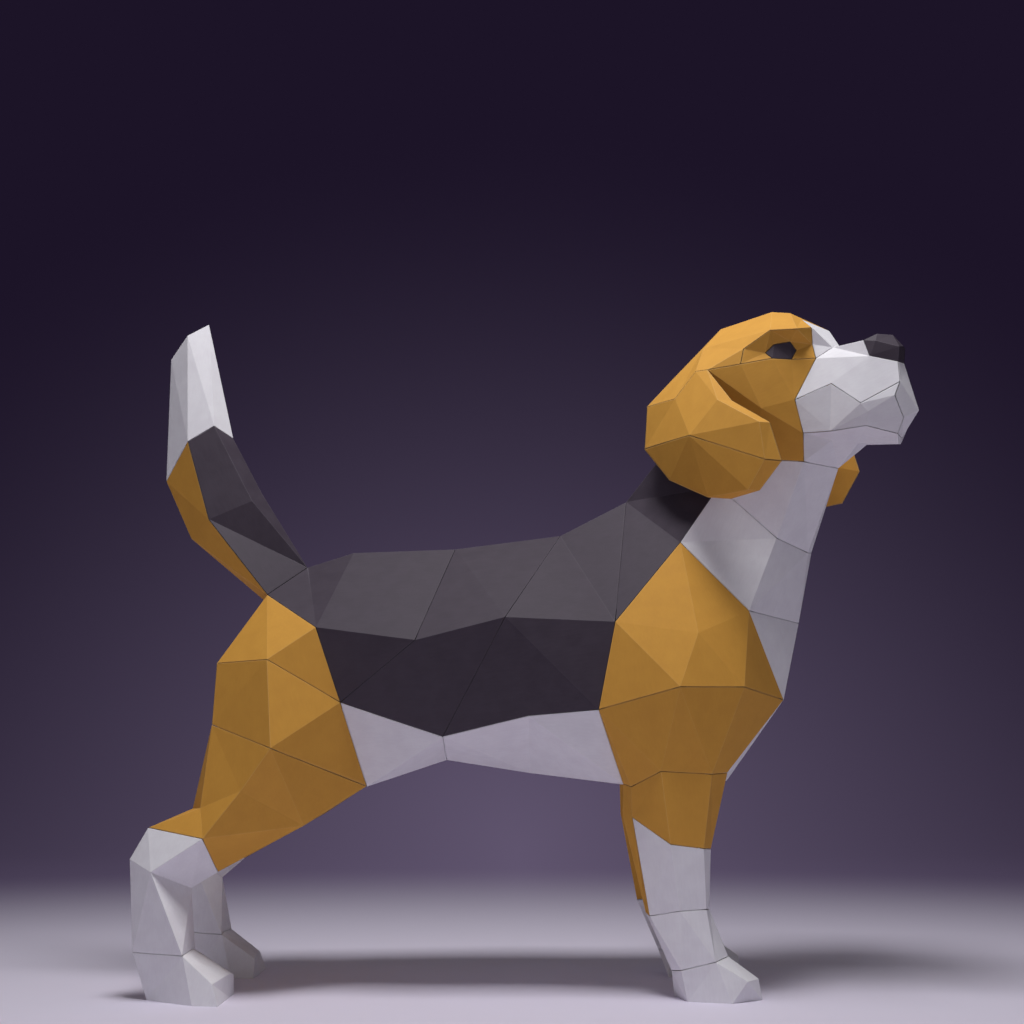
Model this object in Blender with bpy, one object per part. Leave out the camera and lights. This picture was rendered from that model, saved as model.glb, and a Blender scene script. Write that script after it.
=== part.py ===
"""A standing beagle, about life size, glued up from folded pieces of ochre, white and black card.

The dog is a hollow shell. Its flat facets meet at named corners, and each piece of card is a group of
neighbouring facets: inside a piece the facets meet at folds, and between two pieces at a glued seam,
where the piece that comes first in the list carries a tab that lies behind the next one.

Every corner has a distance forward (+X), out from the dog's middle plane, and up (+Z), in millimetres.
The dog's right side is at -Y. The head has its own frame, turned and tilted on the neck.
"""

import math

import bmesh
import bpy
import numpy as np
from mathutils import Matrix, Vector

MM = 0.001

# Card and glue
CARD = 0.5            # thickness of the card
SEAM = 0.5            # open line seen between two glued pieces
GLUE_GAP = 0.25       # room for the glue between a tab and the card that lies on it
TAB_WIDTH = 9.0       # how far a tab reaches behind its neighbour
TAB_SETBACK = 4.0     # least distance from a facet's corner to a tab
TAB_ROOT = 1.6        # width of the fold at a tab's root, beyond the mitre of its two walls
TAB_STEP = 0.6        # how far before the seam a tab has stepped down below its neighbour
TAB_CLEARANCE = 0.5   # kept between a tab's end and the card round the corner
THICKEST = 1.15       # most thickness that a mitre at a corner may give the card, as a share of CARD
SHORTEST_TAB = 5.0
LEAST_TAB_WIDTH = 2.5
SHORTEST_TAB_EDGE = 2.0
FITTING_ROUNDS = 40
LEAST_WEIGHT = 0.05   # share of its weight that a direction already met keeps in the fitting
SHARPEST_TABBED = math.radians(50)    # walls that meet at less than this are glued edge to edge

# Stance
HEAD_TURN = math.radians(34)     # the head looks round to the dog's right
HEAD_TILT = math.radians(9)      # and leans, left side up
HEAD_PIVOT = (170, 0, 400)       # middle of the skull's base
TAIL_ROOT = (-165, 0, 319)
HAUNCH = (-179, 0, 238)
HIND_FOOT = (-230, 60, 0)        # middle of the hind leg on the floor
SHOULDER = (136, 0, 257)
FRONT_FOOT = (120, 56, 0)        # middle of the front leg on the floor
LEFT_FORWARD = 6                 # how far the left foreleg, from the elbow down, stands ahead of the right
LEFT_WRIST_FORWARD = 3            # and how far the back of its wrist does

# Cards: colour (sRGB hex) and roughness
CARDS = {
    "ochre_card": ("D39A3F", 0.75),
    "white_card": ("F2F0EE", 0.70),
    "black_card": ("2A2729", 0.70),
}

# Corners of the tail, from its root
TAIL_CORNERS = {
    "root_top": (0, 0, 0),
    "root_under": (-32, 0, -28),
    "tail_mid_front": (-39, 0, 61),
    "tail_mid_side": (-44, 15, 52),
    "tail_mid_rear": (-77, 20, 36),
    "tail_ridge_low": (-95, 0, 24),
    "tail_front": (-65, 0, 108),
    "tail_side": (-78, 13, 115),
    "tail_rear": (-98, 16, 101),
    "tail_ridge": (-118, 0, 72),
    "tip_front": (-90, 0, 207),
    "tip_side": (-105, 9, 194),
    "tip_rear": (-120, 0, 176),
}

# Corners of the trunk and neck, from the floor under the middle of the back
TRUNK_CORNERS = {
    "rump": (-128, 0, 331),
    "back_rear": (-46, 0, 334),
    "back_front": (39, 0, 345),
    "withers": (93, 0, 373),
    "hip": (-146, 68, 263),
    "flank": (-71, 82, 252),
    "ribs": (-5, 82, 269),
    "flank_low": (-127, 62, 208),
    "waist": (-51, 60, 183),
    "ribs_low": (12, 64, 198),
    "groin": (-109, 34, 147),
    "belly_rear": (-51, 0, 167),
    "belly_front": (14, 0, 157),
    "chest_floor": (88, 0, 148),
    "brisket": (167, 0, 151),
    "neck_side": (160, 52, 374),
    "neck_low": (205, 44, 335),
    "throat_low": (235, 18, 328),
    "neck_front": (242, 0, 331),
    "chest": (229, 0, 274),
    "prow": (211, 0, 212),
}

# Corners of the haunch and thigh, from the middle of the haunch
HAUNCH_CORNERS = {
    "haunch_top": (-12, 28, 55),
    "haunch": (0, 80, 0),
    "thigh": (7, 90, -64),
    "thigh_back_top": (-44, 48, 0),
    "thigh_back": (-44, 54, -46),
    "thigh_back_low": (-47, 64, -106),
    "knee_out": (-15, 80, -94),
    "knee": (27, 54, -119),
    "gaskin_back": (-59, 38, -107),
    "gaskin_in": (-17, 36, -100),
    "seat": (-35, 0, -2),
    "crotch": (-27, 0, -56),
}

# Corners of the hind leg and paw, from the middle of the foot; the pairs are given on the outer
# side, and the inner side repeats them
HIND_LEG_CORNERS = {
    "hock_top": (-34, 0, 118),
    "heel": (-46, 0, 96),
    "hock_front": (15, -14, 86),
    "shin_top": (-3, -11, 75),
    "shin_low": (0, -11, 33),
    "heel_low": (-40, 0, 32),
    "paw_heel": (-28, 0, 0),
    "toe_top": (27, -11, 16),
    "toe_end": (28, -11, 0),
    "toe_corner": (23, 23, 14),
    "toe_corner_in": (28, -22, 14),
}
HIND_LEG_PAIRS = {
    "hock_side": (10, 18, 111),
    "heel_side": (-26, 16, 88),
    "ankle": (0, 18, 32),
    "paw_side": (-6, 14, 0),
    "toe_side": (10, 24, 0),
    "toe_tip": (28, 26, 0),
}

# Corners of the shoulder and the upper arm, from the middle of the shoulder
SHOULDER_CORNERS = {
    "blade_top": (-7, 53, 73),
    "blade_rear": (-60, 78, 9),
    "shoulder": (0, 84, 0),
    "shoulder_low": (-16, 97, -40),
    "shoulder_front": (33, 80, -39),
    "neck_base": (43, 56, 20),
    "prow_side": (73, 24, -45),
    "blade_low": (-73, 75, -55),
    "elbow_rear": (-54, 50, -108),
    "elbow": (-49, 60, -110),
    "arm_out_rear": (-29, 78, -99),
    "arm_out_front": (8, 76, -101),
    "arm_front": (22, 58, -100),
    "arm_in_front": (12, 36, -103),
    "arm_in_rear": (-40, 34, -107),
}

# Corners of the front leg and paw, from the middle of the foot
FRONT_LEG_CORNERS = {
    "fore_rear": (-32, -2, 125),
    "fore_rear_in": (-38, -10, 125),
    "fore_out_rear": (-7, 18, 107),
    "fore_out_front": (17, 16, 104),
    "fore_front": (24, 2, 103),
    "fore_in_front": (17, -14, 104),
    "fore_in_rear": (-12, -18, 110),
    "wrist_rear": (-21, -2, 56),
    "wrist_rear_in": (-23, -9, 58),
    "wrist_out_rear": (-1, 14, 61),
    "wrist_out_front": (18, 12, 62),
    "wrist_front": (22, 0, 61),
    "wrist_in_front": (18, -12, 62),
    "wrist_in_rear": (-2, -14, 60),
    "pastern_rear": (-6, -2, 19),
    "pastern_out_rear": (-1, 12, 21),
    "pastern_out_front": (23, 16, 27),
    "pastern_front": (34, 2, 29),
    "pastern_in_front": (23, -13, 27),
    "pastern_in_rear": (0, -14, 21),
    "fore_heel": (-3, -15, 0),
    "fore_heel_out": (3, 11, 0),
    "fore_heel_in": (3, -13, 0),
    "fore_toe_out": (33, 19, 0),
    "fore_toe_in": (33, -16, 0),
    "fore_toe_corner": (45, 15, 14),
    "fore_toe_corner_in": (45, -11, 14),
    "fore_toe_top": (55, 2, 14),
    "fore_toe_tip": (57, 3, 0),
}

# Corners of the head, in its own frame from HEAD_PIVOT: forward, out and up
HEAD_CORNERS = {
    "skull_low": (-36, 0, 30),
    "skull_low_side": (-24, 40, 20),
    "skull_back": (-36, 0, 80),
    "skull_rear": (-35, 50, 54),
    "skull_top": (12, 34, 95),
    "crown_rear": (14, 0, 115),
    "crown": (59, 0, 120),
    "crown_front": (74, 0, 116),
    "blaze_top": (83, 0, 109),
    "brow_rear": (52, 50, 85),
    "brow": (72, 42, 97),
    "brow_front": (91, 36, 95),
    "brow_inner": (97, 20, 97),
    "stop_high": (96, 20, 84),
    "stop_low": (99, 24, 72),
    "bridge": (109, 12, 80),
    "temple": (50, 54, 73),
    "eye_rear": (66, 42, 80),
    "eye_top_rear": (72, 38, 86),
    "eye_top_front": (83, 32, 87),
    "eye_front": (86, 29, 80),
    "eye_low_front": (83, 33, 73),
    "eye_low_rear": (71, 42, 75),
    "cheek": (62, 52, 37),
    "cheek_front": (84, 38, 41),
    "jaw_corner": (87, 36, 15),
    "throat_side": (83, 30, -6),
    "throat": (99, 0, -12),
    "jaw_back": (50, 44, 0),
    "nose_top": (133, 12, 81),
    "nose_low": (137, 14, 68),
    "nostril": (142, 12, 79),
    "nose_crest": (142, 6, 85),
    "nose_ridge": (152, 0, 83),
    "nose_corner": (158, 8, 72),
    "nose_point": (159, 0, 73),
    "nose_base": (156, 8, 61),
    "lip_top": (158, 0, 60),
    "whisker": (110, 28, 50),
    "lip": (130, 26, 32),
    "mouth": (106, 30, 14),
    "lip_side": (157, 12, 45),
    "lip_fold": (153, 16, 35),
    "lip_low": (134, 24, 25),
    "lip_under": (131, 22, 15),
    "lip_corner": (156, 10, 18),
    "lip_front": (165, 0, 23),
    "chin_side": (150, 9, 7),
    "chin": (150, 0, 4),
    "jaw_tip": (148, 3, 0),
    "jaw_under": (120, 10, 4),
    "gullet": (104, 22, 8),
    "ear_back": (-3, 64, 54),
    "ear_top": (15, 60, 73),
    "ear_front": (26, 62, 72),
    "ear_root": (-2, 50, 37),
    "ear_rim_top": (51, 80, 42),
    "ear_rim_mid": (82, 88, 20),
    "ear_rim_low": (88, 88, -9),
    "ear_tip": (68, 86, -28),
    "ear_low": (25, 84, -28),
    "ear_under": (42, 80, -31),
    "ear_low_rear": (-11, 72, -10),
    "ear_rear": (-37, 58, 19),
    "ear_middle": (18, 90, 20),
    "ear_fold_top": (41, 84, 44),
    "ear_fold_mid": (76, 94, 21),
    "ear_fold_low": (78, 96, -7),
    "ear_fold_tip": (62, 94, -27),
    "ear_hollow": (28, 70, 10),
}

# The pieces of card: colour, whether one sheet spans both sides, and its facets by their corners.
# ~ marks a corner on the other side.
PIECES = {
    "tail_tip": ("white_card", True, (
        "tip_front tip_side tip_rear", "tip_side tail_rear tip_rear", "tip_side tail_side tail_rear",
        "tip_front tail_side tip_side", "tip_front tail_front tail_side", "tip_rear tail_rear tail_ridge",
    )),
    "tail_top": ("black_card", True, (
        "tail_rear tail_side tail_mid_side", "tail_rear tail_mid_side tail_mid_rear",
        "tail_side tail_front tail_mid_front tail_mid_side", "tail_mid_side tail_mid_front root_top",
        "tail_mid_rear tail_mid_side root_top", "tail_mid_rear root_top haunch_top",
    )),
    "tail_underside": ("ochre_card", True, (
        "tail_rear tail_mid_rear tail_ridge_low tail_ridge", "tail_mid_rear haunch_top tail_ridge_low",
        "haunch_top root_under tail_ridge_low",
    )),
    "back_rear": ("black_card", True, (
        "haunch_top root_top rump hip", "rump back_rear flank hip", "hip flank flank_low",
    )),
    "back_middle": ("black_card", True, (
        "back_rear back_front ribs flank", "flank ribs waist", "flank waist flank_low",
    )),
    "back_front": ("black_card", True, (
        "back_front withers blade_rear ribs", "ribs ribs_low waist", "ribs blade_rear blade_low ribs_low",
    )),
    "neck_back": ("black_card", True, (
        "withers blade_top blade_rear", "withers neck_side blade_top", "withers skull_low_side neck_side",
        "withers skull_low skull_low_side", "neck_side skull_low_side jaw_back",
    )),
    "belly_rear": ("white_card", True, (
        "flank_low waist groin", "waist belly_rear groin", "groin belly_rear ~groin", "groin ~groin crotch",
    )),
    "belly_front": ("white_card", True, (
        "waist ribs_low belly_front belly_rear", "ribs_low elbow_rear belly_front",
        "ribs_low blade_low elbow_rear", "belly_front elbow_rear chest_floor",
    )),
    "seat": ("ochre_card", True, (
        "haunch_top thigh_back_top seat root_under", "thigh_back_top thigh_back crotch seat",
    )),
    "haunch_upper": ("ochre_card", False, (
        "haunch_top hip haunch", "hip flank_low haunch", "haunch_top haunch thigh_back_top",
    )),
    "haunch_middle": ("ochre_card", False, (
        "haunch flank_low thigh", "flank_low groin thigh", "thigh_back_top haunch thigh_back",
        "haunch thigh thigh_back",
    )),
    "haunch_lower": ("ochre_card", False, (
        "thigh_back thigh knee_out thigh_back_low", "thigh groin knee knee_out",
        "thigh_back_low knee_out knee hock_side", "hock_side knee hock_front",
        "hock_top thigh_back_low hock_side", "thigh_back thigh_back_low gaskin_back",
        "thigh_back_low hock_top gaskin_back",
    )),
    "thigh_inner": ("ochre_card", False, (
        "groin gaskin_in knee", "groin crotch gaskin_in", "crotch gaskin_back gaskin_in",
        "crotch thigh_back gaskin_back", "gaskin_in hock_side_in hock_front knee",
        "gaskin_in gaskin_back hock_side_in", "gaskin_back hock_top hock_side_in",
    )),
    "hind_leg": ("white_card", False, (
        "hock_top hock_side heel_side", "hock_side shin_top heel_side", "hock_side hock_front shin_top",
        "hock_top heel_side heel", "heel heel_side heel_low", "heel_side ankle heel_low",
        "heel_side shin_top shin_low ankle",
        "hock_top heel_side_in hock_side_in", "hock_side_in heel_side_in shin_top",
        "hock_side_in shin_top hock_front", "hock_top heel heel_side_in", "heel heel_low heel_side_in",
        "heel_side_in heel_low ankle_in", "heel_side_in ankle_in shin_low shin_top",
    )),
    "hind_paw": ("white_card", False, (
        "heel_low ankle paw_side paw_heel", "ankle toe_side paw_side", "ankle toe_corner toe_tip toe_side",
        "ankle shin_low toe_top toe_corner", "toe_corner toe_top toe_end toe_tip",
        "heel_low paw_heel paw_side_in ankle_in", "ankle_in paw_side_in toe_side_in",
        "ankle_in toe_side_in toe_tip_in toe_corner_in", "ankle_in toe_corner_in toe_top shin_low",
        "toe_corner_in toe_tip_in toe_end toe_top",
        "paw_heel paw_side toe_side toe_tip toe_end toe_tip_in toe_side_in paw_side_in",
    )),
    "chest_upper": ("white_card", True, (
        "blade_top neck_side neck_low", "blade_top neck_low neck_base", "neck_low throat_low neck_base",
        "throat_low chest neck_base", "throat_low neck_front chest",
    )),
    "throat_sheet": ("white_card", True, (
        "neck_side jaw_back neck_low", "neck_low jaw_back throat_side", "neck_low throat_side throat_low",
        "throat_low throat_side throat", "throat_low throat neck_front",
    )),
    "chest_lower": ("white_card", True, (
        "neck_base chest prow_side", "chest prow prow_side", "prow brisket prow_side",
        "brisket arm_in_front prow_side", "prow_side arm_in_front arm_front",
        "chest_floor elbow_rear arm_in_rear", "chest_floor arm_in_rear arm_in_front brisket",
    )),
    "shoulder_upper": ("ochre_card", False, (
        "blade_top shoulder blade_rear", "blade_top neck_base shoulder", "blade_rear shoulder shoulder_low",
        "blade_rear shoulder_low blade_low", "shoulder neck_base shoulder_front shoulder_low",
        "neck_base prow_side shoulder_front",
    )),
    "shoulder_lower": ("ochre_card", False, (
        "blade_low shoulder_low arm_out_rear", "blade_low arm_out_rear elbow elbow_rear",
        "shoulder_low shoulder_front arm_out_front arm_out_rear",
        "shoulder_front prow_side arm_front arm_out_front",
    )),
    "upper_arm": ("ochre_card", False, (
        "elbow_rear elbow fore_rear fore_rear_in", "elbow arm_out_rear fore_out_rear fore_rear",
        "arm_out_rear arm_out_front fore_out_front fore_out_rear",
        "arm_out_front arm_front fore_front fore_out_front",
        "arm_front arm_in_front fore_in_front fore_front",
        "arm_in_front arm_in_rear fore_in_rear fore_in_front",
        "arm_in_rear elbow_rear fore_rear_in fore_in_rear",
        "fore_rear_in fore_rear wrist_rear wrist_rear_in", "fore_in_rear fore_rear_in wrist_rear_in wrist_in_rear",
    )),
    "forearm": ("white_card", False, (
        "fore_rear fore_out_rear wrist_out_rear wrist_rear",
        "fore_out_rear fore_out_front wrist_out_front wrist_out_rear",
        "fore_out_front fore_front wrist_front wrist_out_front",
        "fore_front fore_in_front wrist_in_front wrist_front",
        "fore_in_front fore_in_rear wrist_in_rear wrist_in_front",
    )),
    "pastern": ("white_card", False, (
        "wrist_rear_in wrist_rear pastern_rear", "wrist_rear wrist_out_rear pastern_out_rear pastern_rear",
        "wrist_out_rear wrist_out_front pastern_out_front pastern_out_rear",
        "wrist_out_front wrist_front pastern_front pastern_out_front",
        "wrist_front wrist_in_front pastern_in_front pastern_front",
        "wrist_in_front wrist_in_rear pastern_in_rear pastern_in_front",
        "wrist_in_rear wrist_rear_in pastern_rear pastern_in_rear",
    )),
    "front_paw": ("white_card", False, (
        "pastern_rear pastern_out_rear fore_heel_out fore_heel",
        "pastern_out_rear pastern_out_front fore_toe_out fore_heel_out",
        "pastern_out_front fore_toe_corner fore_toe_out",
        "pastern_out_front pastern_front fore_toe_top fore_toe_corner",
        "fore_toe_corner fore_toe_top fore_toe_tip fore_toe_out",
        "pastern_front pastern_in_front fore_toe_corner_in fore_toe_top",
        "pastern_in_front fore_toe_in fore_toe_corner_in",
        "fore_toe_corner_in fore_toe_in fore_toe_tip fore_toe_top",
        "pastern_in_front pastern_in_rear fore_heel_in fore_toe_in",
        "pastern_in_rear pastern_rear fore_heel fore_heel_in",
        "fore_heel fore_heel_out fore_toe_out fore_toe_tip fore_toe_in fore_heel_in",
    )),
    "skull_cap": ("ochre_card", True, (
        "skull_rear skull_top crown_rear skull_back", "skull_rear skull_back skull_low skull_low_side",
        "skull_rear ear_back ear_top skull_top", "skull_top ear_top ear_front temple brow_rear",
        "skull_top brow crown crown_rear", "skull_top brow_rear brow",
        "crown brow brow_front crown_front", "crown_front brow_front brow_inner blaze_top",
    )),
    "brow_and_lids": ("ochre_card", False, (
        "brow_rear eye_rear eye_top_rear brow", "brow eye_top_rear eye_top_front brow_front",
        "brow_front stop_high brow_inner", "brow_front eye_top_front eye_front stop_high",
        "brow_rear temple eye_low_rear eye_rear", "eye_front eye_low_front stop_low stop_high",
    )),
    "eye": ("black_card", False, (
        "eye_rear eye_low_rear eye_low_front eye_top_rear", "eye_top_rear eye_low_front eye_front eye_top_front",
    )),
    "cheek": ("ochre_card", False, (
        "eye_low_rear cheek_front stop_low eye_low_front", "temple cheek cheek_front eye_low_rear",
        "cheek jaw_corner cheek_front", "cheek jaw_back throat_side jaw_corner",
        "ear_front cheek temple", "ear_front jaw_back cheek", "ear_front ear_root jaw_back",
        "ear_root skull_low_side jaw_back", "ear_root skull_rear skull_low_side",
    )),
    "ear_upper": ("ochre_card", False, (
        "skull_rear ear_rear ear_middle ear_back", "ear_back ear_middle ear_top",
        "ear_top ear_middle ear_fold_top", "ear_fold_top ear_middle ear_fold_mid",
        "ear_fold_mid ear_middle ear_fold_low", "ear_top ear_fold_top ear_rim_top ear_front",
        "ear_fold_top ear_fold_mid ear_rim_mid ear_rim_top", "ear_fold_mid ear_fold_low ear_rim_low ear_rim_mid",
    )),
    "ear_lower": ("ochre_card", False, (
        "ear_rear ear_low_rear ear_middle", "ear_middle ear_low_rear ear_low ear_fold_tip",
        "ear_middle ear_fold_tip ear_fold_low", "ear_fold_low ear_fold_tip ear_tip ear_rim_low",
        "ear_low ear_under ear_fold_tip",
        "ear_under ear_tip ear_fold_tip",
    )),
    "ear_inner": ("ochre_card", False, (
        "ear_front ear_rim_top ear_hollow", "ear_rim_top ear_rim_mid ear_hollow",
        "ear_rim_mid ear_rim_low ear_hollow", "ear_rim_low ear_tip ear_hollow", "ear_tip ear_under ear_hollow",
        "ear_under ear_low ear_hollow",
        "ear_low ear_low_rear ear_hollow", "ear_low_rear ear_rear ear_hollow",
        "ear_rear skull_rear ear_root ear_hollow", "ear_root ear_front ear_hollow",
    )),
    "blaze": ("white_card", True, (
        "blaze_top bridge ~bridge", "blaze_top brow_inner stop_high bridge", "stop_high stop_low bridge",
    )),
    "muzzle": ("white_card", True, (
        "bridge nose_top ~nose_top ~bridge", "bridge stop_low nose_low nose_top",
        "stop_low cheek_front whisker", "stop_low whisker lip nose_low", "nose_low lip lip_side nose_base",
    )),
    "jowl": ("white_card", False, (
        "cheek_front mouth lip whisker", "cheek_front jaw_corner mouth", "lip mouth lip_low",
        "lip_low mouth lip_under", "lip lip_low lip_fold lip_side",
        "lip_low lip_under chin_side lip_corner lip_fold",
    )),
    "muzzle_front": ("white_card", True, (
        "nose_base lip_side lip_top", "lip_side lip_fold lip_corner lip_front lip_top",
        "lip_corner chin_side chin lip_front",
    )),
    "lower_jaw": ("white_card", True, (
        "jaw_corner gullet mouth", "mouth gullet jaw_under lip_under", "lip_under jaw_under jaw_tip chin_side",
        "chin_side jaw_tip chin", "chin jaw_tip ~jaw_tip", "jaw_tip jaw_under ~jaw_under ~jaw_tip",
        "jaw_under throat ~jaw_under", "jaw_corner throat_side gullet", "gullet throat_side throat jaw_under",
    )),
    "nose": ("black_card", True, (
        "nose_top nose_low nostril", "nose_top nostril nose_crest", "nostril nose_corner nose_ridge nose_crest",
        "nostril nose_low nose_base nose_corner", "nose_corner nose_base lip_top nose_point",
        "nose_corner nose_point nose_ridge", "nose_top nose_crest ~nose_crest ~nose_top",
        "nose_crest nose_ridge ~nose_crest",
    )),
}

RIGHT, LEFT = -1, 1

# The left side repeats the right one, but for what was glued a little differently: offsets of its corners
LEFT_OFFSETS = {
    "brow_inner": (0, 0, 3),
    "brow_front": (3, 0, 3),
    "ear_low": (0, 0, -6),
    "ear_under": (3, 0, -6),
    "ear_tip": (3, 0, -6),
    "ear_fold_tip": (3, 0, -6),
    "knee": (0, 0, 6),
    "hock_front": (0, 0, 4),
    "groin": (0, 0, 5),
}
LEFT_FORELEG = {"elbow_rear", "elbow", *(name for name in SHOULDER_CORNERS if name.startswith("arm_"))}
LEFT_OFFSETS.update((name, (LEFT_FORWARD, 0, 0)) for name in LEFT_FORELEG.union(FRONT_LEG_CORNERS))
LEFT_OFFSETS.update((name, (LEFT_WRIST_FORWARD, 0, 0)) for name in ("wrist_rear", "wrist_rear_in", "pastern_rear"))


def body_corners():
    """Every corner of the body, as (forward, out, up) from the floor under the back."""
    found = dict(TRUNK_CORNERS)
    for middle, group in (
        (TAIL_ROOT, TAIL_CORNERS), (HAUNCH, HAUNCH_CORNERS), (HIND_FOOT, HIND_LEG_CORNERS),
        (SHOULDER, SHOULDER_CORNERS), (FRONT_FOOT, FRONT_LEG_CORNERS),
    ):
        for name, offset in group.items():
            found[name] = tuple(m + o for m, o in zip(middle, offset))
    for name, (forward, out, up) in HIND_LEG_PAIRS.items():
        for ending, side in (("", 1), ("_in", -1)):
            found[name + ending] = (HIND_FOOT[0] + forward, HIND_FOOT[1] + side * out, HIND_FOOT[2] + up)
    return found


def place(name, side, body):
    """Where a corner is, in metres."""
    forward, out, up = body.get(name) or HEAD_CORNERS[name]
    if side == LEFT and name in LEFT_OFFSETS:
        more_forward, more_out, more_up = LEFT_OFFSETS[name]
        forward, out, up = forward + more_forward, out + more_out, up + more_up
    if name in body:
        return Vector((forward, side * out, up)) * MM
    turn = Matrix.Rotation(-HEAD_TURN, 3, "Z") @ Matrix.Rotation(HEAD_TILT, 3, "X")
    return (Vector(HEAD_PIVOT) + turn @ Vector((forward, side * out, up))) * MM


def skin_of_the_dog():
    """One closed surface with every facet, and the name of the piece that each face belongs to."""
    body = body_corners()
    skin = bmesh.new()
    owner = skin.faces.layers.int.new("piece")
    names = []
    corners = {}
    made = set()

    def vertex(word, side):
        name = word.lstrip("~")
        side = -side if word[0] == "~" else side
        on_middle = (body.get(name) or HEAD_CORNERS[name])[1] == 0
        key = (name, 0 if on_middle else side)
        if key not in corners:
            corners[key] = skin.verts.new(place(name, side, body))
        return corners[key]

    for piece, (_, spans, facets) in PIECES.items():
        for side, ending in ((RIGHT, "_right"), (LEFT, "_left")):
            name = piece if spans else piece + ending
            if name not in names:
                names.append(name)
            for facet in facets:
                ring = [vertex(word, side) for word in facet.split()]
                if frozenset(ring) in made:
                    continue
                made.add(frozenset(ring))
                skin.faces.new(ring)[owner] = names.index(name)
    bmesh.ops.recalc_face_normals(skin, faces=skin.faces)
    bmesh.ops.triangulate(skin, faces=skin.faces)
    skin.verts.index_update()
    skin.normal_update()
    return skin, owner, names


def into_facet(edge, face):
    """The direction in a facet's plane that points away from one of its edges."""
    along = (edge.verts[1].co - edge.verts[0].co).normalized()
    inwards = face.normal.cross(along)
    return inwards if (face.calc_center_median() - edge.verts[0].co).dot(inwards) > 0 else -inwards


def fitted_shift(directions, distances):
    """The shift that comes nearest to these distances along all these directions, at its worst one."""
    rows, wanted = np.array(directions), np.array(distances)
    weights = np.ones(len(rows))
    for _ in range(FITTING_ROUNDS):
        scale = np.sqrt(weights)
        shift = np.linalg.lstsq(rows * scale[:, None], wanted * scale, rcond=0.1)[0]
        weights *= np.abs(rows @ shift - wanted) / CARD + LEAST_WEIGHT
        weights /= weights.max()
    return Vector(shift) * MM


def setback(vertex, faces):
    """How far a corner of a piece moves so that its cut edges lie half a seam inside the facets."""
    own = [face for face in vertex.link_faces if face in faces]
    directions, distances = [face.normal[:] for face in own], [0.0] * len(own)
    for edge in vertex.link_edges:
        inside = [face for face in edge.link_faces if face in faces]
        if len(inside) == 1:
            directions.append(into_facet(edge, inside[0])[:])
            distances.append(SEAM / 2)
    return fitted_shift(directions, distances) if len(directions) > len(own) else Vector()


def inwards(vertex):
    """The way from a corner to the same corner of the card's back, one card's thickness in."""
    directions = [face.normal for face in vertex.link_faces]
    shift = fitted_shift([normal[:] for normal in directions], [-CARD] * len(directions))
    deepest = max(-shift.dot(normal) for normal in directions)
    return shift * min(1.0, THICKEST * CARD * MM / deepest)


def card_shell(faces):
    """The folded sheet of a group of facets, as thick as the card, in a mesh of its own."""
    shell = bmesh.new()
    front, depth = {}, {}
    for vertex in sorted({vertex for face in faces for vertex in face.verts}, key=lambda v: v.index):
        front[vertex] = shell.verts.new(vertex.co + setback(vertex, faces))
        depth[tuple(front[vertex].co)] = inwards(vertex)
    for face in faces:
        shell.faces.new([front[vertex] for vertex in face.verts])
    made = bmesh.ops.extrude_face_region(shell, geom=list(shell.faces), use_keep_orig=True)["geom"]
    for vertex in made:
        if isinstance(vertex, bmesh.types.BMVert):
            vertex.co += depth[tuple(vertex.co)]
    bmesh.ops.recalc_face_normals(shell, faces=shell.faces)
    if shell.calc_volume(signed=True) < 0:
        bmesh.ops.reverse_faces(shell, faces=shell.faces)
    return shell


def corner_angle(vertex, face):
    return next(loop.calc_angle() for loop in face.loops if loop.vert == vertex)


def wall_angle(edge):
    """The angle inside the dog between the two facets of an edge."""
    return math.pi - edge.calc_face_angle_signed()


def reach_past(edge, depth):
    """How far from an edge a layer at this depth is clear of the facet round the corner."""
    return max(0.0, depth / math.tan(wall_angle(edge) / 2))


def tab_start(vertex, seam, giver, taker, depth, root):
    """How far along a seam from its end a tab starts, so that its end is clear of its neighbours."""
    start = max(TAB_SETBACK, (root + TAB_CLEARANCE) / math.tan(corner_angle(vertex, giver) / 2))
    for face in (giver, taker):
        other = next(edge for edge in face.edges if edge is not seam and vertex in edge.verts)
        gap = reach_past(other, depth) + TAB_CLEARANCE
        start = max(start, gap / math.sin(corner_angle(vertex, face)))
    return start


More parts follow.
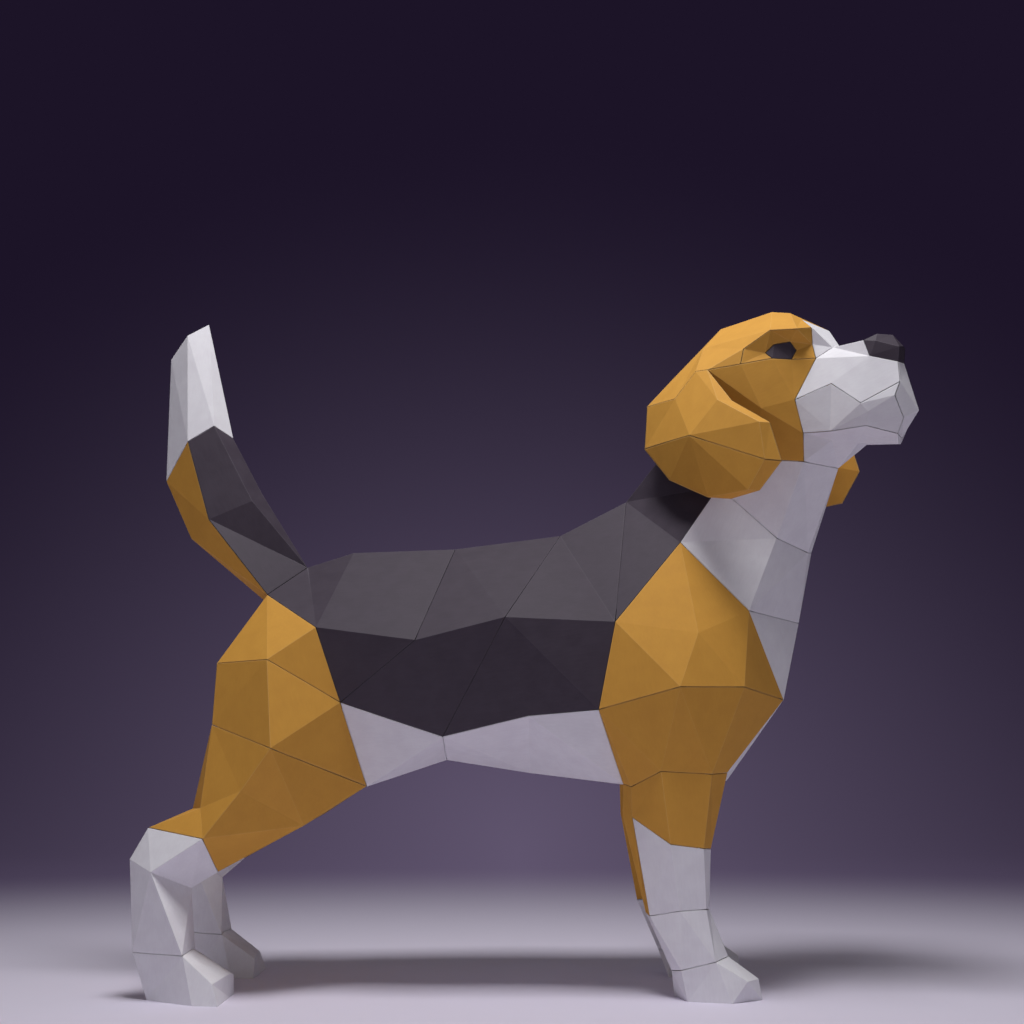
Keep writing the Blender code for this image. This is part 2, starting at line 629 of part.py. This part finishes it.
def add_tab(tabs, seam, giver, taker):
    """Adds a seam's glue tab: it leaves the giver's back, steps down and lies behind the taker."""
    angle = wall_angle(seam)
    if not SHARPEST_TABBED < angle < 2 * math.pi - SHARPEST_TABBED:
        return
    top, bottom = CARD + GLUE_GAP, 2 * CARD + GLUE_GAP

    def mitre(depth):
        return depth / math.tan(angle / 2)

    edge_of_giver = mitre(CARD / 2) + SEAM / 2 + GLUE_GAP + TAB_STEP
    root = max(mitre(bottom), edge_of_giver) + TAB_ROOT
    start, end = seam.verts
    length = seam.calc_length() / MM
    first = tab_start(start, seam, giver, taker, bottom, root)
    last = length - tab_start(end, seam, giver, taker, bottom, root)
    slopes = [1 / math.tan(corner_angle(vertex, taker) / 2) for vertex in (start, end)]
    width = min(TAB_WIDTH, 0.6 * length / sum(slopes), (last - first - SHORTEST_TAB_EDGE) / sum(slopes))
    if last - first < SHORTEST_TAB or width < LEAST_TAB_WIDTH:
        return
    along = (end.co - start.co).normalized()
    on_giver, on_taker = into_facet(seam, giver), into_facet(seam, taker)

    def point(place_along, face, across_face, across, depth):
        return start.co + (along * place_along + across_face * across - face.normal * depth) * MM

    def section(place_along, far_place):
        return [tabs.verts.new(place) for place in (
            point(place_along, giver, on_giver, root, CARD / 2),
            point(place_along, giver, on_giver, edge_of_giver, CARD / 2),
            point(place_along, giver, on_giver, mitre(top) + TAB_STEP, top),
            point(place_along, taker, on_taker, mitre(top), top),
            point(far_place, taker, on_taker, mitre(top) + width, top),
            point(far_place, taker, on_taker, mitre(top) + width, bottom),
            point(place_along, taker, on_taker, mitre(bottom), bottom),
            point(place_along, giver, on_giver, root, bottom),
        )]

    near_end = section(first, first + width * slopes[0])
    far_end = section(last, last - width * slopes[1])
    for index in range(8):
        following = (index + 1) % 8
        tabs.faces.new((near_end[index], near_end[following], far_end[following], far_end[index]))
    for ring in (near_end, far_end):
        tabs.faces.new((ring[0], ring[1], ring[2], ring[3], ring[6], ring[7]))
        tabs.faces.new((ring[3], ring[4], ring[5], ring[6]))


def tabs_of(index, faces, owner):
    """The tabs that a piece carries: one at each seam with a piece further down the list."""
    tabs = bmesh.new()
    for face in faces:
        for seam in face.edges:
            taker = next(other for other in seam.link_faces if other is not face)
            if taker[owner] > index:
                add_tab(tabs, seam, face, taker)
    bmesh.ops.recalc_face_normals(tabs, faces=tabs.faces)
    return tabs


def linear(hex_colour):
    """A linear RGBA colour from an sRGB hex value."""
    channels = [int(hex_colour[place:place + 2], 16) / 255 for place in (0, 2, 4)]
    return [c / 12.92 if c <= 0.04045 else ((c + 0.055) / 1.055) ** 2.4 for c in channels] + [1.0]


def card_material(name):
    colour, roughness = CARDS[name]
    material = bpy.data.materials.new(name)
    material.use_nodes = True
    surface = material.node_tree.nodes["Principled BSDF"]
    surface.inputs["Base Color"].default_value = linear(colour)
    surface.inputs["Roughness"].default_value = roughness
    surface.inputs["Metallic"].default_value = 0.0
    material.diffuse_color = linear(colour)
    return material


def new_object(name, shape, collection):
    mesh = bpy.data.meshes.new(name)
    shape.to_mesh(mesh)
    shape.free()
    made = bpy.data.objects.new(name, mesh)
    collection.objects.link(made)
    return made


def new_collection(name):
    collection = bpy.data.collections.new(name)
    bpy.context.scene.collection.children.link(collection)
    return collection


def main():
    for old in list(bpy.data.objects):
        bpy.data.objects.remove(old, do_unlink=True)
    dog = new_collection("card_beagle")
    helpers = new_collection("tab_shapes")
    materials = {name: card_material(name) for name in CARDS}
    colours = {}
    for piece, (card, spans, _) in PIECES.items():
        for ending in ("",) if spans else ("_right", "_left"):
            colours[piece + ending] = materials[card]

    skin, owner, names = skin_of_the_dog()
    low = [min(vertex.co[axis] for vertex in skin.verts) for axis in range(3)]
    high = [max(vertex.co[axis] for vertex in skin.verts) for axis in range(3)]
    middle = Vector(((low[0] + high[0]) / 2, (low[1] + high[1]) / 2, low[2]))
    bmesh.ops.translate(skin, verts=skin.verts, vec=-middle)

    for index, name in enumerate(names):
        faces = [face for face in skin.faces if face[owner] == index]
        piece = new_object(name, card_shell(faces), dog)
        piece.data.materials.append(colours[name])
        tabs = tabs_of(index, faces, owner)
        if not tabs.faces:
            tabs.free()
            continue
        helper = new_object(name + "_tabs", tabs, helpers)
        helper.hide_render = True
        helper.display_type = "WIRE"
        union = piece.modifiers.new("glue tabs", "BOOLEAN")
        union.operation = "UNION"
        union.solver = "EXACT"
        union.use_self = True
        union.object = helper
    skin.free()


main()
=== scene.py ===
"""A standing beagle glued up from folded ochre, white and black card, on a pale floor in a studio."""
import math

import bmesh
import bpy
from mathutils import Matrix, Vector

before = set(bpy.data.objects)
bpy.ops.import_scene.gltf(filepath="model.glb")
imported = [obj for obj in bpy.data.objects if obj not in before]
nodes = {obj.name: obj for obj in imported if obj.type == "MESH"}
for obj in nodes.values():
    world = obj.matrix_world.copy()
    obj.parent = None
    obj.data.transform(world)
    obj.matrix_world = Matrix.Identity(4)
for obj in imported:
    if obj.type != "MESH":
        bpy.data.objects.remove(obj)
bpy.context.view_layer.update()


# The camera stands level with the dog's legs, a metre away on its right side, and looks up a little,
# so that the head is seen against the backdrop and the soles of the paws aren't seen.
CAMERA_PLACE = (-0.0099, -0.9754, 0.155)
CAMERA_PITCH_DEG = 12
CAMERA_LENS_MM, CAMERA_SENSOR_MM = 43.6, 36
camera = bpy.data.objects.new("camera", bpy.data.cameras.new("camera"))
camera.data.lens = CAMERA_LENS_MM
camera.data.sensor_width = CAMERA_SENSOR_MM
camera.location = CAMERA_PLACE
camera.rotation_euler = (math.radians(90 + CAMERA_PITCH_DEG), 0, 0)
bpy.context.scene.collection.objects.link(camera)
bpy.context.scene.camera = camera


# The sweep is a roll of matt lilac-white paper that comes down a stand behind the dog and runs forward
# under its paws. It has no edge between wall and floor, because the paper turns up in a wide curve.
SWEEP_WIDTH = 9.0
SWEEP_FRONT, SWEEP_BACK = -4.5, 2.6
SWEEP_TURN_RADIUS, SWEEP_TURN_STEPS, SWEEP_TOP = 1.1, 24, 4.6
SWEEP_FLOOR_HEX = "E3DCEE"
SWEEP_ROUGHNESS, SWEEP_SPECULAR = 0.9, 0.2
POOL_HEX, DUSK_HEX = "5F546D", "1C1427"
POOL_REACH, POOL_STRETCH, POOL_FALL_OFF = 2.2, (0.85, 0, 1), 2.0
FADE_MIDDLE, FADE_START, FADE_END = (0, -0.4, 0), 0.5, 1.7
# The sockets of a node that mixes two colours: its share, the colours and the result.
MIX_SHARE, MIX_FIRST, MIX_SECOND, MIX_RESULT = 0, 6, 7, 2


def linear(hex_colour):
    """An sRGB hex colour as linear red, green and blue, with an alpha of 1."""
    channels = [int(hex_colour[start:start + 2], 16) / 255 for start in (0, 2, 4)]
    return tuple(c / 12.92 if c <= 0.04045 else ((c + 0.055) / 1.055) ** 2.4 for c in channels) + (1.0,)


def add_node(tree, kind, settings=None, links=None):
    """Adds one node. A setting is a property or an input's value, and a link is a socket to join."""
    node = tree.nodes.new(kind)
    for key, value in (settings or {}).items():
        if isinstance(key, str) and hasattr(node, key):
            setattr(node, key, value)
        else:
            node.inputs[key].default_value = value
    for key, source in (links or {}).items():
        tree.links.new(source, node.inputs[key])
    return node


def seen_itself(tree):
    """1 for the rays that show the backdrop itself, and 0 for those that carry its light to the dog."""
    ray = add_node(tree, "ShaderNodeLightPath")
    direct = add_node(tree, "ShaderNodeMath", {"operation": "MAXIMUM"},
                      {0: ray.outputs["Is Camera Ray"], 1: ray.outputs["Is Glossy Ray"]})
    shown = add_node(tree, "ShaderNodeMath", {"operation": "MAXIMUM"},
                     {0: direct.outputs[0], 1: ray.outputs["Is Transmission Ray"]})
    return shown.outputs[0]


sweep_shape = bmesh.new()
turn_middle = Vector((0, SWEEP_BACK - SWEEP_TURN_RADIUS, SWEEP_TURN_RADIUS))
profile = [Vector((0, SWEEP_FRONT, 0))]
for step in range(SWEEP_TURN_STEPS + 1):
    angle = math.radians(90 * step / SWEEP_TURN_STEPS)
    profile.append(turn_middle + Vector((0, math.sin(angle), -math.cos(angle))) * SWEEP_TURN_RADIUS)
profile.append(Vector((0, SWEEP_BACK, SWEEP_TOP)))
rows = [[sweep_shape.verts.new((side * SWEEP_WIDTH / 2, place.y, place.z)) for side in (-1, 1)]
        for place in profile]
for low, high in zip(rows, rows[1:]):
    sweep_shape.faces.new((low[0], low[1], high[1], high[0])).smooth = True
sweep_mesh = bpy.data.meshes.new("paper_sweep")
sweep_shape.to_mesh(sweep_mesh)
sweep_shape.free()
sweep = bpy.data.objects.new("paper_sweep", sweep_mesh)
bpy.context.scene.collection.objects.link(sweep)
sweep_paper = bpy.data.materials.new("matt_background_paper")
sweep_paper.use_nodes = True
tree = sweep_paper.node_tree
lit_paper = tree.nodes["Principled BSDF"]
lit_paper.inputs["Base Color"].default_value = linear(SWEEP_FLOOR_HEX)
lit_paper.inputs["Roughness"].default_value = SWEEP_ROUGHNESS
lit_paper.inputs["Specular IOR Level"].default_value = SWEEP_SPECULAR
place = add_node(tree, "ShaderNodeTexCoord").outputs["Object"]
# A pool of violet light is painted on the paper behind the dog as a glow that fades into painted dusk all
# round, and lights nothing.
flattened = add_node(tree, "ShaderNodeVectorMath", {"operation": "MULTIPLY", 1: POOL_STRETCH}, {0: place})
off_middle = add_node(tree, "ShaderNodeVectorMath", {"operation": "LENGTH"}, {0: flattened.outputs[0]})
in_pool = add_node(tree, "ShaderNodeMapRange",
                   {"From Min": 0.0, "From Max": POOL_REACH, "To Min": 1.0, "To Max": 0.0},
                   {"Value": off_middle.outputs["Value"]})
soft_edge = add_node(tree, "ShaderNodeMath", {"operation": "POWER", 1: POOL_FALL_OFF},
                     {0: in_pool.outputs["Result"]})
dusk = add_node(tree, "ShaderNodeMix",
                {"data_type": "RGBA", MIX_FIRST: linear(DUSK_HEX), MIX_SECOND: linear(POOL_HEX)},
                {MIX_SHARE: soft_edge.outputs[0]})
wall = add_node(tree, "ShaderNodeEmission", links={"Color": dusk.outputs[MIX_RESULT]})
# Away from the dog the lit floor gives way to that look, so that no edge shows where they meet.
distance = add_node(tree, "ShaderNodeVectorMath", {"operation": "DISTANCE", 1: FADE_MIDDLE}, {0: place})
away = add_node(tree, "ShaderNodeMapRange",
                {"From Min": FADE_START, "From Max": FADE_END, "interpolation_type": "SMOOTHSTEP"},
                {"Value": distance.outputs["Value"]})
share = add_node(tree, "ShaderNodeMath", {"operation": "MULTIPLY"},
                 {0: away.outputs["Result"], 1: seen_itself(tree)})
both = add_node(tree, "ShaderNodeMixShader",
                links={0: share.outputs[0], 1: lit_paper.outputs[0], 2: wall.outputs[0]})
tree.links.new(both.outputs[0], tree.nodes["Material Output"].inputs["Surface"])
sweep_mesh.materials.append(sweep_paper)


# A soft box hangs over the middle of the dog, a little to the camera's side, so that the tail is lit
# from its front and the head from its back. The pale floor throws light up under the belly, and a wide
# soft box by the camera and the room give the little that the shadows need.
KEY_PLACE, KEY_SIZE, KEY_WATTS = (-0.02, -0.36, 1.45), 0.38, 12.6
FILL_PLACE, FILL_SIZE, FILL_WATTS = (-0.4, -2.2, 0.5), 1.2, 1.8
ROOM_LIGHT = 0.11
DOG_MIDDLE = Vector((0, 0, 0.27))
for name, lamp_place, size, watts in (
    ("key_soft_box", KEY_PLACE, KEY_SIZE, KEY_WATTS),
    ("front_soft_box", FILL_PLACE, FILL_SIZE, FILL_WATTS),
):
    lamp = bpy.data.objects.new(name, bpy.data.lights.new(name, "AREA"))
    lamp.data.shape = "SQUARE"
    lamp.data.size = size
    lamp.data.energy = watts
    lamp.visible_camera = False
    lamp.location = lamp_place
    lamp.rotation_euler = (DOG_MIDDLE - Vector(lamp_place)).to_track_quat("-Z", "Y").to_euler()
    bpy.context.scene.collection.objects.link(lamp)
room = bpy.data.worlds.new("studio_room")
room.use_nodes = True
bpy.context.scene.world = room
tree = room.node_tree
tree.nodes.clear()
even_light = add_node(tree, "ShaderNodeBackground", {"Color": (1, 1, 1, 1), "Strength": ROOM_LIGHT})
seen_wall = add_node(tree, "ShaderNodeBackground", {"Color": linear(DUSK_HEX)})
both = add_node(tree, "ShaderNodeMixShader",
                links={0: seen_itself(tree), 1: even_light.outputs[0], 2: seen_wall.outputs[0]})
add_node(tree, "ShaderNodeOutputWorld", links={"Surface": both.outputs[0]})
bpy.context.scene.view_settings.view_transform = "Standard"


# The tail's tip is one sheet of white card, 0.5 mm thick, folded into a pointed sleeve and closed with a
# glued tab. The card is uncoated and dyed through: dull, faintly cloudy, with fibres that run one way.
# The faint lilac of the white card is the studio's violet light, painted in.
WHITE_CARD = {"card_hex": "EEECF2", "cloud_hex": "E8E5EC", "fold_hex": "F9F8FB",
              "roughness": 0.72, "fold_wear_and_highlight": 0.5}
TAIL_TIP_GRAIN_DEG = 8
CARD_SPECULAR, ROUGHNESS_SPREAD = 0.3, 0.05
# The pulp lies in clouds about 6 mm across, one to each 12 mm of the noise.
CLOUD_PITCH = 0.012
# Fibres are 0.03 mm thick and 2 mm long, drawn 0.7 mm thick and 6 mm long so that they show.
FIBRE_PITCH, FIBRE_SHARE, FIBRE_HEIGHT = (0.0014, 0.0014, 0.012), 0.6, 0.00008
MOTTLE_DARK, MOTTLE_PALE = 0.6, 1.0
# A scored line is rounded over about 0.7 mm, and painted paler: its stretched fibres, and a painted
# highlight along the fold.
FOLD_RADIUS, FOLD_BEGINS, FOLD_FULL = 0.0007, 0.9998, 0.97
# A facet bows by a fraction of a millimetre between its folds.
BOW_PITCH, BOW_HEIGHT = 0.07, 0.0012


def folded_card(name, grain_deg, card_hex, cloud_hex, fold_hex, roughness, fold_wear_and_highlight):
    """Uncoated card: clouds, fibres along the grain, facets that bow, and rounded folds painted paler, for
    wear and as a painted highlight.
    """
    made = bpy.data.materials.new(name)
    made.use_nodes = True
    tree = made.node_tree
    surface = tree.nodes["Principled BSDF"]
    surface.inputs["Specular IOR Level"].default_value = CARD_SPECULAR
    place = add_node(tree, "ShaderNodeTexCoord").outputs["Object"]
    clouds = add_node(tree, "ShaderNodeTexNoise", {"Scale": 1 / CLOUD_PITCH, "Detail": 3.0},
                      {"Vector": place})
    grain = add_node(tree, "ShaderNodeMapping",
                     {"vector_type": "TEXTURE", "Rotation": (0, math.radians(grain_deg), 0),
                      "Scale": FIBRE_PITCH},
                     {"Vector": place})
    fibres = add_node(tree, "ShaderNodeTexNoise", {"Scale": 1.0, "Detail": 2.0, "Roughness": 0.6},
                      {"Vector": grain.outputs[0]})
    mottle = add_node(tree, "ShaderNodeMath", {"operation": "MULTIPLY_ADD", 1: FIBRE_SHARE},
                      {0: fibres.outputs["Fac"], 2: clouds.outputs["Fac"]})
    paler = add_node(tree, "ShaderNodeMapRange", {"From Min": MOTTLE_DARK, "From Max": MOTTLE_PALE},
                     {"Value": mottle.outputs[0]})
    tone = add_node(tree, "ShaderNodeMix",
                    {"data_type": "RGBA", MIX_FIRST: linear(cloud_hex), MIX_SECOND: linear(card_hex)},
                    {MIX_SHARE: paler.outputs["Result"]})
    rounded = add_node(tree, "ShaderNodeBevel", {"samples": 6, "Radius": FOLD_RADIUS})
    facet = add_node(tree, "ShaderNodeNewGeometry")
    turned = add_node(tree, "ShaderNodeVectorMath", {"operation": "DOT_PRODUCT"},
                      {0: rounded.outputs[0], 1: facet.outputs["True Normal"]})
    fold = add_node(tree, "ShaderNodeMapRange", {"From Min": FOLD_BEGINS, "From Max": FOLD_FULL},
                    {"Value": turned.outputs["Value"]})
    worn_and_highlit = add_node(tree, "ShaderNodeMath", {"operation": "MULTIPLY", 1: fold_wear_and_highlight},
                    {0: fold.outputs["Result"]})
    # The folds are painted paler: stretched fibres, and a painted highlight.
    colour = add_node(tree, "ShaderNodeMix", {"data_type": "RGBA", MIX_SECOND: linear(fold_hex)},
                      {MIX_SHARE: worn_and_highlit.outputs[0], MIX_FIRST: tone.outputs[MIX_RESULT]})
    tree.links.new(colour.outputs[MIX_RESULT], surface.inputs["Base Color"])
    bow = add_node(tree, "ShaderNodeTexNoise", {"Scale": 1 / BOW_PITCH, "Detail": 1.0},
                   {"Vector": place})
    bowed = add_node(tree, "ShaderNodeBump", {"Strength": 1.0, "Distance": BOW_HEIGHT},
                     {"Height": bow.outputs["Fac"], "Normal": rounded.outputs[0]})
    felt = add_node(tree, "ShaderNodeBump", {"Strength": 0.35, "Distance": FIBRE_HEIGHT},
                    {"Height": fibres.outputs["Fac"], "Normal": bowed.outputs[0]})
    tree.links.new(felt.outputs[0], surface.inputs["Normal"])
    dull = add_node(tree, "ShaderNodeMapRange",
                    {"To Min": roughness - ROUGHNESS_SPREAD, "To Max": roughness + ROUGHNESS_SPREAD},
                    {"Value": clouds.outputs["Fac"]})
    tree.links.new(dull.outputs["Result"], surface.inputs["Roughness"])
    return made


def dress(card, slot_name, *piece_names):
    """Gives the pieces their card. Each is one folded sheet and keeps its shape from the frame."""
    for piece_name in piece_names:
        piece = nodes[piece_name]
        for slot in piece.material_slots:
            slot.link = "OBJECT"
            slot.material = card


tail_tip_card = folded_card("white_uncoated_card_tail_tip", TAIL_TIP_GRAIN_DEG, **WHITE_CARD)
dress(tail_tip_card, "white_card", "tail_tip")


# The tail's black sheet wraps its front and sides, and is glued to the tip above it and to the ochre
# sheet behind. Black card is dyed in the pulp too, and keeps more of a sheen than the ochre and the white.
# Its colour is drawn lighter and more violet than the card's own, with the violet studio light and the
# card's sheen painted in.
BLACK_CARD = {"card_hex": "483F4B", "cloud_hex": "423945", "fold_hex": "76707A",
              "roughness": 0.62, "fold_wear_and_highlight": 0.35}
TAIL_TOP_GRAIN_DEG = -28
tail_top_card = folded_card("black_uncoated_card_tail_top", TAIL_TOP_GRAIN_DEG, **BLACK_CARD)
dress(tail_top_card, "black_card", "tail_top")


# The tail's underside is a strip of ochre card, folded along its middle and glued along both edges to the
# black sheet. Ochre card is dyed in the pulp, so that a crease is painted paler but never white, for its
# stretched fibres and a painted highlight.
OCHRE_CARD = {"card_hex": "D79D42", "cloud_hex": "D2983F", "fold_hex": "E9C282",
              "roughness": 0.75, "fold_wear_and_highlight": 0.5}
TAIL_UNDERSIDE_GRAIN_DEG = -24
tail_underside_card = folded_card("ochre_uncoated_card_tail", TAIL_UNDERSIDE_GRAIN_DEG, **OCHRE_CARD)
dress(tail_underside_card, "ochre_card", "tail_underside")


# The back is four saddles of black card, from the tail's root to the skull. Each is folded along the
# spine and along the flank's upper edge, and is glued to the next over tabs.
BACK_GRAIN_DEG = 82
back_card = folded_card("black_uncoated_card_back", BACK_GRAIN_DEG, **BLACK_CARD)
dress(back_card, "black_card", "back_rear", "back_middle", "back_front", "neck_back")


# The belly is two troughs of white card that close the body from below. They meet under the waist and
# are glued to tabs on the lower edges of the black saddles.
BELLY_GRAIN_DEG = 88
belly_card = folded_card("white_uncoated_card_belly", BELLY_GRAIN_DEG, **WHITE_CARD)
dress(belly_card, "white_card", "belly_rear", "belly_front")


# The seat is a sheet of ochre card across the rump, and each haunch is three bands of it, one below the
# other, with a fourth sheet on the thigh's inner side. Their seams run across the haunch.
HAUNCH_GRAIN_DEG = -12
haunch_card = folded_card("ochre_uncoated_card_haunch", HAUNCH_GRAIN_DEG, **OCHRE_CARD)
dress(haunch_card, "ochre_card", "seat",
      "haunch_upper_right", "haunch_middle_right", "haunch_lower_right", "thigh_inner_right",
      "haunch_upper_left", "haunch_middle_left", "haunch_lower_left", "thigh_inner_left")


# Each hind leg is a tube of white card from hock to ankle, folded along its shin and heel. Its paw is a
# second sheet, folded into a wedge with a flat sole and glued on below.
HIND_LEG_GRAIN_DEG = 6
hind_leg_card = folded_card("white_uncoated_card_hind_leg", HIND_LEG_GRAIN_DEG, **WHITE_CARD)
dress(hind_leg_card, "white_card", "hind_leg_right", "hind_leg_left", "hind_paw_right", "hind_paw_left")


# The chest is three sheets of white card, glued one below the other: the throat under the jaw, the upper
# chest, whose folds fan out from the shoulders, and the lower chest between the forelegs.
CHEST_GRAIN_DEG = 20
chest_card = folded_card("white_uncoated_card_chest", CHEST_GRAIN_DEG, **WHITE_CARD)
dress(chest_card, "white_card", "chest_upper", "throat_sheet", "chest_lower")


# Each shoulder is two sheets of ochre card that meet at its widest point, where the folds fan out. A
# cuff of the same card goes round the upper arm below them, with a tongue down the leg's back.
SHOULDER_GRAIN_DEG = -6
shoulder_card = folded_card("ochre_uncoated_card_shoulder", SHOULDER_GRAIN_DEG, **OCHRE_CARD)
dress(shoulder_card, "ochre_card", "shoulder_upper_right", "shoulder_lower_right", "upper_arm_right",
      "shoulder_upper_left", "shoulder_lower_left", "upper_arm_left")


# Each foreleg is a channel of white card, glued to the cuff above it and to the tongue behind it. A
# short pastern and a wedge-shaped paw with a flat sole are glued on below.
FORELEG_GRAIN_DEG = -4
foreleg_card = folded_card("white_uncoated_card_foreleg", FORELEG_GRAIN_DEG, **WHITE_CARD)
dress(foreleg_card, "white_card", "forearm_right", "pastern_right", "front_paw_right",
      "forearm_left", "pastern_left", "front_paw_left")


# The skull is one cap of ochre card from nape to brow. Each brow is a narrow strip folded in to make
# the eyelids round a window in the card, and each cheek is glued on between the brow and the jaw.
HEAD_GRAIN_DEG = 64
head_card = folded_card("ochre_uncoated_card_head", HEAD_GRAIN_DEG, **OCHRE_CARD)
dress(head_card, "ochre_card", "skull_cap", "brow_and_lids_right", "brow_and_lids_left",
      "cheek_right", "cheek_left")


# Each eye is a scrap of black card glued behind the window in the brow, so that the lids stand proud of
# it and shade it.
EYE_GRAIN_DEG = 10
eye_card = folded_card("black_uncoated_card_eye", EYE_GRAIN_DEG, **BLACK_CARD)
dress(eye_card, "black_card", "eye_right", "eye_left")


# Each ear hangs clear of the cheek. An upper and a lower sheet of ochre card make its face, glued along
# a seam across it, and a third closes its inner side.
EAR_GRAIN_DEG = 38
ear_card = folded_card("ochre_uncoated_card_ear", EAR_GRAIN_DEG, **OCHRE_CARD)
dress(ear_card, "ochre_card", "ear_upper_right", "ear_lower_right", "ear_inner_right",
      "ear_upper_left", "ear_lower_left", "ear_inner_left")


# The blaze, the muzzle's bridge, the two jowls, the muzzle's front and the lower jaw are small sheets of
# white card, folded tightly and glued to each other and to the cheeks.
MUZZLE_GRAIN_DEG = 74
muzzle_card = folded_card("white_uncoated_card_muzzle", MUZZLE_GRAIN_DEG, **WHITE_CARD)
dress(muzzle_card, "white_card", "blaze", "muzzle", "jowl_right", "jowl_left", "muzzle_front",
      "lower_jaw")


# The nose is one small sheet of black card, folded into a blunt cap over the muzzle's end. Its edges are
# handled most in the making, and its folds are painted the palest of the black ones, for wear and a
# brighter painted highlight.
NOSE_GRAIN_DEG = 48
NOSE_CARD = {**BLACK_CARD, "fold_wear_and_highlight": 0.5}
nose_card = folded_card("black_uncoated_card_nose", NOSE_GRAIN_DEG, **NOSE_CARD)
dress(nose_card, "black_card", "nose")
